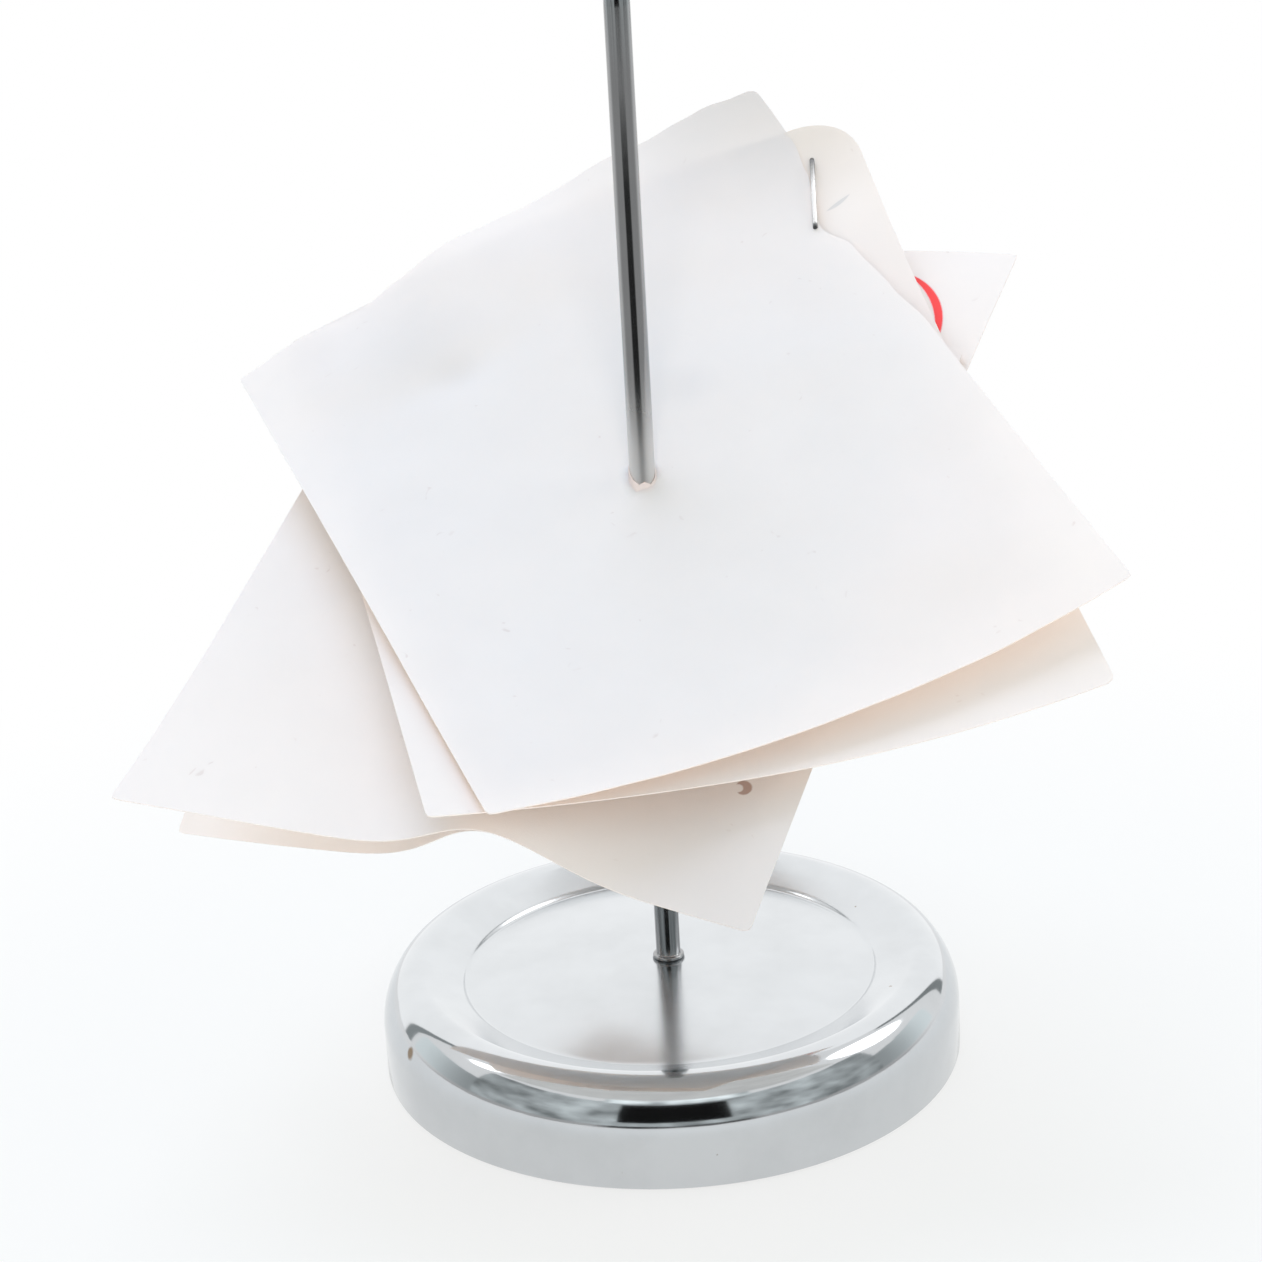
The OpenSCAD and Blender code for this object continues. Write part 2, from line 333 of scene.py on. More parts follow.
def makeShell(material):
    size = shellSize
    roll = math.radians(size["rollOver"])
    crestZ = size["height"] - size["crestRound"]
    shoulder = size["radius"] - size["crest"] - size["crestRound"] * math.sin(roll)
    sideRound = shoulder / (1 - math.sin(roll))
    sideR = size["radius"] - sideRound
    sideZ = crestZ + (size["crestRound"] - sideRound) * math.cos(roll)
    slope = math.radians(size["slope"])
    stepZ = size["height"] - size["dishDrop"]
    flankFall = size["dishDrop"] - size["innerRound"] * (1 - math.cos(slope))
    stepR = size["crest"] - size["innerRound"] * math.sin(slope) - flankFall / math.tan(slope)
    footR, footZ = stepR - size["stepWide"], stepZ - size["stepDeep"]
    domeR = (footR ** 2 + size["dishRise"] ** 2) / (2 * size["dishRise"])
    domeZ = footZ + size["dishRise"] - domeR
    footTurn = math.degrees(math.asin(footR / domeR))
    seatTurn = math.degrees(math.asin(size["seat"] / domeR))
    bm = bmesh.new()
    end = startLine(bm, size["radius"], size["skirtLift"])
    end = lineTo(bm, end, size["radius"], sideZ)
    end = arcTo(bm, end, (sideR, sideZ), 90 - size["rollOver"], size["arcSteps"])
    end = arcTo(bm, end, (size["crest"], crestZ), size["rollOver"], size["arcSteps"])
    innerZ = size["height"] - size["innerRound"]
    end = arcTo(bm, end, (size["crest"], innerZ), size["slope"], size["innerSteps"])
    topCorner = lineTo(bm, end, stepR, stepZ)
    footCorner = lineTo(bm, topCorner, footR, footZ)
    end = arcTo(bm, footCorner, (0, domeZ), footTurn - seatTurn, size["arcSteps"])
    lineTo(bm, end, size["hole"], end.co.z / mm)
    bmesh.ops.bevel(
        bm, geom=[topCorner, footCorner], offset=size["stepRound"] * mm, offset_type="OFFSET",
        affect="VERTICES", segments=4, profile=0.5, material=-1)
    turnProfile(bm, size["around"])
    shell = finishPiece(bm, "baseShell", "stand", material, ("base_shell",), smoothAngle=40)
    thick = shell.modifiers.new("wallThickness", "SOLIDIFY")
    thick.thickness = size["wall"] * mm
    thick.offset = -1
    thick.use_even_offset = True
    ease = shell.modifiers.new("easedEdge", "BEVEL")
    ease.width = size["edgeEase"] * mm
    ease.segments = 3
    ease.limit_method = "ANGLE"
    ease.angle_limit = math.radians(size["easeAngle"])
    print("base shell turned")


# spike: bright drawn wire with an upset bead and a ground point
spikeSize = {
    "wire": 1.6,
    "tenon": 1.5,
    "tenonFoot": 2.4,
    "tenonEase": 0.3,
    "seat": 13.083,
    "beadOver": 0.45,
    "beadHeight": 0.5,
    "beadEase": 0.15,
    "beadTurn": 78,
    "beadSteps": 10,
    "beadFillet": [(0.1, 0.02), (0, 0.15)],  # out from the wire, up from the bead
    "straight": (1.25, 1.2),  # rings start above the seat and stop below the point's shoulder
    "rings": 12,
    "height": 152.0,
    "point": 14.0,
    "shoulder": [(-0.012, 0), (-0.15, 1.2)],  # out from the wire, up from the shoulder
    "tip": 0.2,
    "nose": [(0.45, -3.3), (0, -0.35), (-0.06, -0.1)],  # out from the tip's radius, up from its end
    "around": 96,
}


def makeSpike(material):
    size = spikeSize
    wire, seat = size["wire"], size["seat"]
    bead = wire + size["beadOver"]
    half = size["beadHeight"] / 2
    bm = bmesh.new()
    end = startLine(bm, 0, size["tenonFoot"])
    end = lineTo(bm, end, size["tenon"] - size["tenonEase"], size["tenonFoot"])
    end = lineTo(bm, end, size["tenon"], size["tenonFoot"] + size["tenonEase"])
    end = lineTo(bm, end, size["tenon"], seat)
    end = lineTo(bm, end, bead - size["beadEase"], seat)
    end = lineTo(bm, end, bead, seat + size["beadEase"])
    end = lineTo(bm, end, bead, seat + half)
    end = arcTo(bm, end, (bead - half, seat + half), size["beadTurn"], size["beadSteps"])
    for out, up in size["beadFillet"]:
        end = lineTo(bm, end, wire + out, seat + size["beadHeight"] + up)
    shoulder = size["height"] - size["point"]
    low, high = seat + size["straight"][0], shoulder - size["straight"][1]
    for ring in range(1, size["rings"] + 1):
        end = lineTo(bm, end, wire, low + (high - low) * ring / size["rings"])
    for out, up in size["shoulder"]:
        end = lineTo(bm, end, wire + out, shoulder + up)
    for out, up in size["nose"]:
        end = lineTo(bm, end, size["tip"] + out, size["height"] + up)
    lineTo(bm, end, 0, size["height"])
    turnProfile(bm, size["around"])
    finishPiece(bm, "spikeWire", "stand", material, ("spike",), smoothAngle=35)
    print("spike turned")


# foot pad: soft foam disc with an eased edge
padSize = {
    "radius": 35.5,
    "height": 1.5,
    "ease": 0.35,
    "around": 128,
    "dark": (0.018, 0.018, 0.02, 1),
    "light": (0.055, 0.055, 0.06, 1),
    "rough": 0.88,
    "cellScale": 1700,
    "cellBump": (0.5, 0.2),  # strength and depth
    "cloudScale": 140,
}


def makePad(material):
    bm = bmesh.new()
    bmesh.ops.create_circle(bm, cap_ends=True, segments=padSize["around"], radius=padSize["radius"] * mm)
    top = bmesh.ops.extrude_face_region(bm, geom=bm.faces[:])["geom"]
    bmesh.ops.translate(bm, vec=(0, 0, padSize["height"] * mm), verts=pick(top, bmesh.types.BMVert))
    bmesh.ops.recalc_face_normals(bm, faces=bm.faces)
    rims = [edge for edge in bm.edges if abs(edge.verts[0].co.z - edge.verts[1].co.z) < weldGap]
    bmesh.ops.bevel(
        bm, geom=rims, offset=padSize["ease"] * mm, offset_type="OFFSET", affect="EDGES",
        segments=4, profile=0.5, material=-1)
    finishPiece(bm, "footPad", "stand", material, ("foot_pad",), smoothAngle=40)
    print("foot pad made")


def makeFoam():
    material, tree, shader = newMaterial("closedFoam")
    place = addNode(tree, "ShaderNodeTexCoord")
    cells = addNode(tree, "ShaderNodeTexVoronoi", {"Scale": padSize["cellScale"]})
    cloud = addNoise(tree, padSize["cloudScale"], 4)
    ramp = addRamp(tree, (0, padSize["dark"]), (1, padSize["light"]))
    bump = addBump(tree, *padSize["cellBump"])
    shader.inputs["Roughness"].default_value = padSize["rough"]
    joinUp(
        tree,
        (place.outputs["Object"], cells.inputs["Vector"]),
        (place.outputs["Object"], cloud.inputs["Vector"]),
        (cloud.outputs["Fac"], ramp.inputs["Fac"]),
        (ramp.outputs["Color"], shader.inputs["Base Color"]),
        (cells.outputs["Distance"], bump.inputs["Height"]),
        (bump.outputs["Normal"], shader.inputs["Normal"]),
    )
    return material


# hidden metal: cast ballast and plain steel, on the construction's own solids
innerMetals = {
    "castIron": {
        "nodes": ("ballast_weight",), "dark": (0.05, 0.05, 0.052, 1), "light": (0.13, 0.128, 0.125, 1),
        "metallic": 0.6, "rough": 0.7, "grain": 220, "grainBump": (0.4, 0.4),
    },
    "plainSteel": {
        "nodes": ("bottom_plate", "washer", "nut"),
        "dark": (0.36, 0.36, 0.355, 1), "light": (0.55, 0.55, 0.545, 1),
        "metallic": 1.0, "rough": 0.38, "grain": 600, "grainBump": (0.4, 0.03),
    },
}


def finishInner(name):
    look = innerMetals[name]
    material, tree, shader = newMaterial(name)
    place = addNode(tree, "ShaderNodeTexCoord")
    cloud = addNoise(tree, look["grain"], 8, Roughness=0.65)
    ramp = addRamp(tree, (0.3, look["dark"]), (0.7, look["light"]))
    bump = addBump(tree, *look["grainBump"])
    shader.inputs["Metallic"].default_value = look["metallic"]
    shader.inputs["Roughness"].default_value = look["rough"]
    joinUp(
        tree,
        (place.outputs["Object"], cloud.inputs["Vector"]),
        (cloud.outputs["Fac"], ramp.inputs["Fac"]),
        (ramp.outputs["Color"], shader.inputs["Base Color"]),
        (cloud.outputs["Fac"], bump.inputs["Height"]),
        (bump.outputs["Normal"], shader.inputs["Normal"]),
    )
    for node in look["nodes"]:
        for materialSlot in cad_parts[node].material_slots:
            materialSlot.material = material
    print(name, "finished")


# the bills: bent sheets hung on the spike, as in the construction
# u and v are a place on a sheet, across and along it from its hole in millimetres
billStack = {
    "width": 80.0,
    "tilt": 31.0,
    "bearing": -100.0,
    "thick": 0.14,
    "holeRound": 1.74,
    "holeReach": 6,  # the hole's rim lies this near the hole's height
    "cell": 0.85,
    "edgeReach": 11.0,
    "tornReach": 2.2,  # in radii of the hole
    "tornDepth": 0.08,
    "tornScale": 2.3,
    "ripples": (26, 10),  # lengths of the broad and the fine ripples
    "fineShare": 0.5,
    "waveReach": 16,  # a wave is full this far past its start
    "sway": (1.6, 17),  # how far waves are uneven, and over which length
}
# the collar torn up round a hole: its heights are shares of the bill's own collar, greater to the left
collarForm = {
    "rings": 3, "near": 1.2, "least": 0.15, "usual": 0.7, "left": 0.5, "torn": 0.7, "tornScale": 2,
    "lean": 0.012, "mapScale": 0.008,
}
# bends: (curve, bearing, start as a share of the width); corners: radii from the lower left round the sheet
# dents: (u, v, two sizes, lift); waves: (bearing, start, lift, length); curls: (curve, bearing, start)
# upperEdge and rightEdge: (place along the edge, shift outward)
bills = {
    "lowestBill": {
        "node": "lowest_bill", "body": "lowest_slip", "length": 104.0, "hole": (49, 48), "height": 72.0,
        "spin": -11, "tilt": 0.5, "bearing": -6,
        "bends": [(0.08, -55, 0.2), (-0.72, 135, 0.03), (0.08, 55, 0.2), (-0.72, 235, 0.01)],
        "ripple": 0.2, "seed": 3.1, "corners": (0.6, 0.6, 0.6, 0.6), "collar": 0.3,
        "dents": [(-1.5, -48, 10, 15, 7.5)],
        "waves": [],
        "curls": [(0.0047, 225, 45)],
        "upperEdge": [], "rightEdge": [],
    },
    "leftBill": {
        "node": "left_bill", "body": "left_slip", "length": 91.0, "hole": (48, 57), "height": 74.5,
        "spin": -13, "tilt": 0, "bearing": 0,
        "bends": [(0.32, -105, 0.08), (-0.6, 140, 0.04), (0.24, 35, 0.15), (-0.48, 215, 0.16)],
        "ripple": 0.2, "seed": 8.7, "corners": (0.8, 0.8, 0.8, 0.8), "collar": 0.3,
        "dents": [(-14, 12, 9, 9, -0.5), (2, -57, 10, 14, 7.0)],
        "waves": [],
        "curls": [(0.005, 230, 50), (-0.0043, -60, 45)],
        "upperEdge": [], "rightEdge": [],
    },
    "underBill": {
        "node": "under_bill", "body": "stapled_slips", "length": 100.0, "hole": (37, 49), "height": 77.0,
        "spin": 19, "tilt": 1.5, "bearing": 3,
        "bends": [(0.32, -25, 0.24), (-0.52, 140, 0.04), (0.24, 70, 0.12), (0.72, 225, 0.03)],
        "ripple": 0.15, "seed": 14.2, "corners": (0.6, 1.2, 8.0, 0.6), "collar": 0.3,
        "dents": [],
        "waves": [],
        "curls": [(0.02, 13, 42.5)],
        "upperEdge": [], "rightEdge": [],
    },
    "topBill": {
        "node": "top_bill", "body": "stapled_slips", "length": 101.0, "hole": (38, 47), "height": 79.0,
        "spin": 32, "tilt": 1, "bearing": -2,
        "bends": [(0.36, -25, 0.24), (-0.52, 130, 0.11), (0.32, 75, 0.24), (0.6, 210, -0.03)],
        "ripple": 0.4, "seed": 21.9, "corners": (0.7, 0.7, 1.2, 0.7), "collar": 1.3,
        "dents": [
            (-13, 31, 9, 4, -0.8), (-27, 40, 9, 7, 0.9), (4, 44, 8, 8, 0.8),
            (20, 8, 12, 9, 0.6), (25, -30, 9, 7, 0.5)],
        "waves": [(90, 33, 0.6, 23), (-90, 38, 0.7, 37)],
        "curls": [(-0.005, 70, 46)],
        "upperEdge": [
            (-38, -1.4), (-31, -1.0), (-20, -2.3), (-13, -1.0), (-5, 0.1), (2, -0.5), (6, -1.0),
            (12, -0.9), (24, -0.1), (31, 0.7), (35, 1.0), (39, 0.2), (42, 0)],
        "rightEdge": [
            (-10, 0), (4, 0.1), (12, -0.8), (21.5, -1.6), (26.5, -3.7), (31.7, -2.2),
            (36.3, -0.9), (42, 0)],
    },
}


def hangMatrix(bill):
    turn = Matrix.Rotation(math.radians(billStack["bearing"] + bill["bearing"] + 90), 4, "Z")
    tip = Matrix.Rotation(math.radians(billStack["tilt"] + bill["tilt"]), 4, "X")
    spin = Matrix.Rotation(math.radians(bill["spin"]), 4, "Z")
    return Matrix.Translation((0, 0, bill["height"])) @ turn @ tip @ spin


# how far a place lies from the hole towards a bearing on the sheet
def reachTowards(bearing, u, v):
    turn = math.radians(bearing)
    return u * math.cos(turn) + v * math.sin(turn)


def sheetRise(bill, u, v):
    wide = billStack["width"]
    lift = 0
    for curve, bearing, start in bill["bends"]:
        far = reachTowards(bearing, u, v) / wide - start
        lift += wide / 2 * curve * max(0, far) ** 2
    return lift


# handling marks: soft ripples, dents, edge waves and corner curls
def sheetRipple(bill, u, v):
    seed = bill["seed"]
    broad, fine = [noise.noise(Vector((u / size, v / size, seed))) for size in billStack["ripples"]]
    swaySize, swayLength = billStack["sway"]
    lift = bill["ripple"] * (broad + billStack["fineShare"] * fine)
    for dentU, dentV, sizeU, sizeV, height in bill["dents"]:
        lift += height * math.exp(-((u - dentU) / sizeU) ** 2 - ((v - dentV) / sizeV) ** 2)
    for bearing, start, height, length in bill["waves"]:
        far = max(0, reachTowards(bearing, u, v) - start)
        along = reachTowards(bearing + 90, u, v)
        sway = swaySize * noise.noise(Vector((along / swayLength, 0, seed)))
        swing = math.sin(math.tau * along / length + sway)
        lift += height * min(1, far / billStack["waveReach"]) ** 2 * (0.5 + 0.5 * swing)
    for curve, bearing, start in bill["curls"]:
        lift += curve * max(0, reachTowards(bearing, u, v) - start) ** 2
    return lift


# draws the corner's square of cells into a quarter disc
def roundCorner(bill, wide, long, u, v):
    right = u > wide / 2 - bill["hole"][0]
    upper = v > long / 2 - bill["hole"][1]
    lowerLeft, lowerRight, upperRight, upperLeft = bill["corners"]
    if right:
        size = upperRight if upper else lowerRight
    else:
        size = upperLeft if upper else lowerLeft
    midU = min(max(u, size - bill["hole"][0]), wide - bill["hole"][0] - size)
    midV = min(max(v, size - bill["hole"][1]), long - bill["hole"][1] - size)
    a, b = (u - midU) / size, (v - midV) / size
    return midU + size * a * math.sqrt(1 - b * b / 2), midV + size * b * math.sqrt(1 - a * a / 2)


# edges wander where the sheet is cockled or gathered
def edgeShift(points, at):
    for (start, before), (stop, after) in zip(points, points[1:]):
        if start <= at <= stop:
            part = (at - start) / (stop - start)
            return before + (after - before) * part * part * (3 - 2 * part)
    return 0


def wanderEdges(bill, wide, long, u, v):
    nearTop = max(0, 1 - (long - bill["hole"][1] - v) / billStack["edgeReach"]) ** 2
    nearRight = max(0, 1 - (wide - bill["hole"][0] - u) / billStack["edgeReach"]) ** 2
    shiftU = edgeShift(bill["rightEdge"], v) * nearRight
    shiftV = edgeShift(bill["upperEdge"], u) * nearTop
    return u + shiftU, v + shiftV


def nearHole(bill, vert, reach):
    level = abs(vert.co.z - bill["height"]) < billStack["holeReach"]
    return level and vert.co.xy.length < reach * billStack["holeRound"]


# paper pushed down a spike tears upward round it
def raiseCollar(bm, bill, uvLayer):
    form = collarForm
    rim = [
        edge for edge in bm.edges
        if edge.is_boundary and all(nearHole(bill, vert, form["near"]) for vert in edge.verts)]
    for ring in range(form["rings"]):
        grown = bmesh.ops.extrude_edge_only(bm, edges=rim)["geom"]
        for vert in pick(grown, bmesh.types.BMVert):
            side = vert.co.xy.normalized()
            around = side * form["tornScale"]
            tear = noise.noise(Vector((around.x, around.y, bill["seed"])))
            ragged = form["usual"] - form["left"] * side.x + form["torn"] * tear
            vert.co.z += bill["collar"] * max(form["least"], ragged) / form["rings"]
            vert.co.x, vert.co.y = side * (billStack["holeRound"] - form["lean"] * (ring + 1))
        for face in pick(grown, bmesh.types.BMFace):
            for loop in face.loops:
                loop[uvLayer].uv = loop.vert.co.xy * form["mapScale"]
        rim = [edge for edge in pick(grown, bmesh.types.BMEdge) if edge.is_boundary]


def makeBill(name, material):
    bill = bills[name]
    wide, long = billStack["width"], bill["length"]
    cell, holeRound = billStack["cell"], billStack["holeRound"]
    bm = bmesh.new()
    uvLayer = bm.loops.layers.uv.new("sheet")
    bmesh.ops.create_grid(
        bm, x_segments=round(wide / cell), y_segments=round(long / cell), size=0.5, calc_uvs=True)
    bmesh.ops.scale(bm, vec=(wide, long, 1), verts=bm.verts)
    fromHole = (wide / 2 - bill["hole"][0], long / 2 - bill["hole"][1], 0)
    bmesh.ops.translate(bm, vec=fromHole, verts=bm.verts)
    for face in bm.faces:
        for loop in face.loops:
            loop[uvLayer].uv = (loop.vert.co.x / sheetUnit, loop.vert.co.y / sheetUnit)
    for vert in bm.verts:
        u, v = wanderEdges(bill, wide, long, *roundCorner(bill, wide, long, vert.co.x, vert.co.y))
        vert.co = Vector((u, v, sheetRise(bill, u, v) + sheetRipple(bill, u, v)))
    bmesh.ops.transform(bm, matrix=hangMatrix(bill), verts=bm.verts)
    pierced = [vert for vert in bm.verts if nearHole(bill, vert, 1)]
    bmesh.ops.delete(bm, geom=pierced, context="VERTS")
    for vert in bm.verts:
        if vert.is_boundary and vert.co.xy.length < billStack["tornReach"] * holeRound:
            torn = holeRound + billStack["tornDepth"] * noise.noise(vert.co * billStack["tornScale"])
            vert.co.x, vert.co.y = vert.co.xy.normalized() * torn
    raiseCollar(bm, bill, uvLayer)
    for edge in bm.edges:
        edge.smooth = not edge.is_boundary
    bmesh.ops.scale(bm, vec=(mm, mm, mm), verts=bm.verts)
    sheet = finishPiece(bm, name, bill["body"], material, (bill["node"],))
    thick = sheet.modifiers.new("paperThickness", "SOLIDIFY")
    thick.thickness = billStack["thick"] * mm
    thick.offset = 0
    print(name, "hung on the spike")


# paper: soft white with fibres, faint cockle and a few flecks, stained where it is pierced
paperLook = {
    "white": (0.93, 0.914, 0.9, 1),
    "shade": (0.905, 0.889, 0.875, 1),
    "rough": 0.72,
    "gloss": 0.25,
    "cloudScale": 9,
    "cloudRange": (0.25, 0.7),
    "fibreScale": 420,
    "fibreShare": 0.1,
    "cockleScale": 11,
    "bump": (0.3, 0.5),  # strength and depth
    "through": (1.0, 0.843, 0.724, 1),
    "glow": 0.36,  # share of the light that passes through a sheet
    "holeStain": (0.78, 0.52, 0.5, 1),
    "stainReach": (1.8, 0.9),
    "stainRagged": -2.0,
    "stainShare": 0.22,
    "fleck": (0.52, 0.42, 0.4, 1),
    "fleckScale": 36,
    "fleckTwist": 1.6,
    "fleckRange": (0.755, 0.82),
    "fleckShare": 0.3,
    "inkEdge": (1.1, 0.8),  # a line fades between these shares of its half width
    "inkRagged": 0.2,
}
# arcs drawn on a sheet: centre and radius from the hole, half the line's width, middle and reach in radians
penStroke = {
    "centre": (10.4, 37.7), "radius": 14.9, "half": 0.68, "middle": 0.52, "reach": 0.72, "share": 0.97,
    "inkAndShade": (0.95, 0.045, 0.045, 1),
}
# a grey line of painted shade where the under bill is creased, drawn like the pen's line
creaseShade = {
    "centre": (28.0, 66.5), "radius": 31.0, "half": 0.34, "middle": -1.25, "reach": 0.07, "share": 0.3,
    "inkAndShade": (0.3, 0.3, 0.3, 1),
}
speck = {
    "centre": (25.0, -38.3), "radius": 0.75, "half": 0.62, "middle": 0.4, "reach": 2.4, "share": 0.75,
    "inkAndShade": (0.3, 0.13, 0.07, 1),
}
# painted shade: a patch greys the sheet round one place, where a curl, a dent or a sheet above would shade
# it: where it lies from the hole, how far it reaches, its colour and its share
# painted shade on the left bill's tip, under the sheets above it
tipPaintedShade = {"at": (32, -57), "size": 36, "tone": (0.55, 0.55, 0.55, 1), "share": 0.42}
# painted shade on the top bill's upper corner, which faces away from the top lamp
cornerPaintedShade = {"at": (42, 57), "size": 32, "tone": (0.56, 0.55, 0.52, 1), "share": 0.66}
# painted warm shade on the under bill's curled upper corner
cornerPaintedWarmShade = {"at": (36, 51), "size": 17, "tone": (0.62, 0.58, 0.5, 1), "share": 0.5}
# painted shade in the top bill's dimple and along its fold, because the dent itself is only 0.8 mm deep
dimplePaintedShade = {"at": (-16, 38), "size": 12, "tone": (0.55, 0.55, 0.54, 1), "share": 0.16}
dimpleFoldPaintedShade = {"at": (-13, 31.5), "size": 4.5, "tone": (0.5, 0.5, 0.49, 1), "share": 0.12}
# painted bluish shade on the middle of the top bill
middlePaintedShade = {"at": (11, 11), "size": 5.5, "tone": (0.5, 0.53, 0.6, 1), "share": 0.12}


def stainHole(tree, sheetPlace, fibre, colour):
    wide, narrow = paperLook["stainReach"]
    fromHole = addNode(tree, "ShaderNodeVectorMath", operation="LENGTH")
    ragged = addMath(tree, "MULTIPLY_ADD", paperLook["stainRagged"] / sheetUnit)
    share = addRange(tree, wide / sheetUnit, narrow / sheetUnit, 0, paperLook["stainShare"])
    stain = addCover(tree, paperLook["holeStain"])
    joinUp(
        tree,
        (sheetPlace, fromHole.inputs[0]),
        (fibre, ragged.inputs[0]),
        (fromHole.outputs["Value"], ragged.inputs[2]),
        (ragged.outputs[0], share.inputs["Value"]),
        (share.outputs["Result"], stain.inputs[0]),
        (colour, stain.inputs[6]),
    )
    return stain.outputs[2]


def addFlecks(tree, sheetPlace, colour):
    flecks = addNoise(tree, paperLook["fleckScale"], 1, Distortion=paperLook["fleckTwist"])
    share = addRange(tree, *paperLook["fleckRange"], 0, paperLook["fleckShare"])
    flecked = addCover(tree, paperLook["fleck"])
    joinUp(
        tree,
        (sheetPlace, flecks.inputs["Vector"]),
        (flecks.outputs["Fac"], share.inputs["Value"]),
        (share.outputs["Result"], flecked.inputs[0]),
        (colour, flecked.inputs[6]),
    )
    return flecked.outputs[2]


# paints a patch of shade into the sheet's colour
def addPaintedShade(tree, sheetPlace, colour, shadePatch):
    middle = [part / sheetUnit for part in shadePatch["at"]] + [0]
    away = addNode(tree, "ShaderNodeVectorMath", {1: middle}, operation="DISTANCE")
    fade = addRange(tree, shadePatch["size"] / sheetUnit, 0, 0, shadePatch["share"], smooth=True)
    shadedColour = addCover(tree, shadePatch["tone"])
    joinUp(
        tree,
        (sheetPlace, away.inputs[0]),
        (away.outputs["Value"], fade.inputs["Value"]),
        (fade.outputs["Result"], shadedColour.inputs[0]),
        (colour, shadedColour.inputs[6]),
    )
    return shadedColour.outputs[2]


# the line thins towards both ends of its arc, and the fibres roughen its edges
def drawArc(tree, sheetPlace, fibre, colour, mark):
    half = mark["half"] / sheetUnit
    outer, inner = paperLook["inkEdge"]
    centre = [part / sheetUnit for part in mark["centre"]] + [0]
    away = addNode(tree, "ShaderNodeVectorMath", {1: centre}, operation="SUBTRACT")
    reach = addNode(tree, "ShaderNodeVectorMath", operation="LENGTH")
    off = addMath(tree, "SUBTRACT", mark["radius"] / sheetUnit)
    aside = addMath(tree, "ABSOLUTE")
    wobble = addMath(tree, "MULTIPLY_ADD", paperLook["inkRagged"] * half)
    split = addNode(tree, "ShaderNodeSeparateXYZ")
    bearing = addMath(tree, "ARCTAN2")
    turned = addMath(tree, "SUBTRACT", mark["middle"])
    fromMiddle = addMath(tree, "MULTIPLY", 1 / mark["reach"])
    taper = addMath(tree, "POWER", 2)
    edge = addMath(tree, "MULTIPLY_ADD", half)
    line = addRange(tree, outer * half, inner * half, 0, mark["share"])
    inkAndShade = addCover(tree, mark["inkAndShade"])
    joinUp(
        tree,
        (sheetPlace, away.inputs[0]),
        (away.outputs["Vector"], reach.inputs[0]),
        (reach.outputs["Value"], off.inputs[0]),
        (off.outputs[0], aside.inputs[0]),
        (fibre, wobble.inputs[0]),
        (aside.outputs[0], wobble.inputs[2]),
        (away.outputs["Vector"], split.inputs["Vector"]),
        (split.outputs["Y"], bearing.inputs[0]),
        (split.outputs["X"], bearing.inputs[1]),
        (bearing.outputs[0], turned.inputs[0]),
        (turned.outputs[0], fromMiddle.inputs[0]),
        (fromMiddle.outputs[0], taper.inputs[0]),
        (taper.outputs[0], edge.inputs[0]),
        (wobble.outputs[0], edge.inputs[2]),
        (edge.outputs[0], line.inputs["Value"]),
        (line.outputs["Result"], inkAndShade.inputs[0]),
        (colour, inkAndShade.inputs[6]),
    )
    return inkAndShade.outputs[2], line.outputs["Result"]


def makePaper(name, mark=None, shadePatches=()):
    material, tree, shader = newMaterial(name)
    shader.inputs["Roughness"].default_value = paperLook["rough"]
    shader.inputs["Specular IOR Level"].default_value = paperLook["gloss"]
    sheetPlace = addNode(tree, "ShaderNodeUVMap", uv_map="sheet").outputs["UV"]
    cloud = addNoise(tree, paperLook["cloudScale"], 4, Roughness=0.55)
    fibre = addNoise(tree, paperLook["fibreScale"], 4, Roughness=0.7)
    cockle = addNoise(tree, paperLook["cockleScale"], 3, Roughness=0.45)
    cockle.noise_type = "RIDGED_MULTIFRACTAL"
    low, high = paperLook["cloudRange"]
    ramp = addRamp(tree, (low, paperLook["shade"]), (high, paperLook["white"]))
    heights = addMath(tree, "MULTIPLY_ADD", paperLook["fibreShare"])
    bump = addBump(tree, *paperLook["bump"])
    glow = addNode(tree, "ShaderNodeBsdfTranslucent", {"Color": paperLook["through"]})
    mixed = addNode(tree, "ShaderNodeMixShader", {0: paperLook["glow"]})
    colour = stainHole(tree, sheetPlace, fibre.outputs["Fac"], ramp.outputs["Color"])
    colour = addFlecks(tree, sheetPlace, colour)
    for shadePatch in shadePatches:
        colour = addPaintedShade(tree, sheetPlace, colour, shadePatch)
    if mark:
        colour, line = drawArc(tree, sheetPlace, fibre.outputs["Fac"], colour, mark)
        share = addRange(tree, 0, 1, paperLook["glow"], 0)  # ink and the painted shade line let no light through
        joinUp(tree, (line, share.inputs["Value"]), (share.outputs["Result"], mixed.inputs[0]))
    joinUp(
        tree,
        (sheetPlace, cloud.inputs["Vector"]),
        (sheetPlace, fibre.inputs["Vector"]),
        (sheetPlace, cockle.inputs["Vector"]),
        (cloud.outputs["Fac"], ramp.inputs["Fac"]),
        (fibre.outputs["Fac"], heights.inputs[0]),
        (cockle.outputs["Fac"], heights.inputs[2]),
        (heights.outputs[0], bump.inputs["Height"]),
        (bump.outputs["Normal"], shader.inputs["Normal"]),
        (bump.outputs["Normal"], glow.inputs["Normal"]),
        (colour, shader.inputs["Base Color"]),
        (shader.outputs["BSDF"], mixed.inputs[1]),
        (glow.outputs["BSDF"], mixed.inputs[2]),
        (mixed.outputs["Shader"], tree.nodes["Material Output"].inputs["Surface"]),
    )
    return material


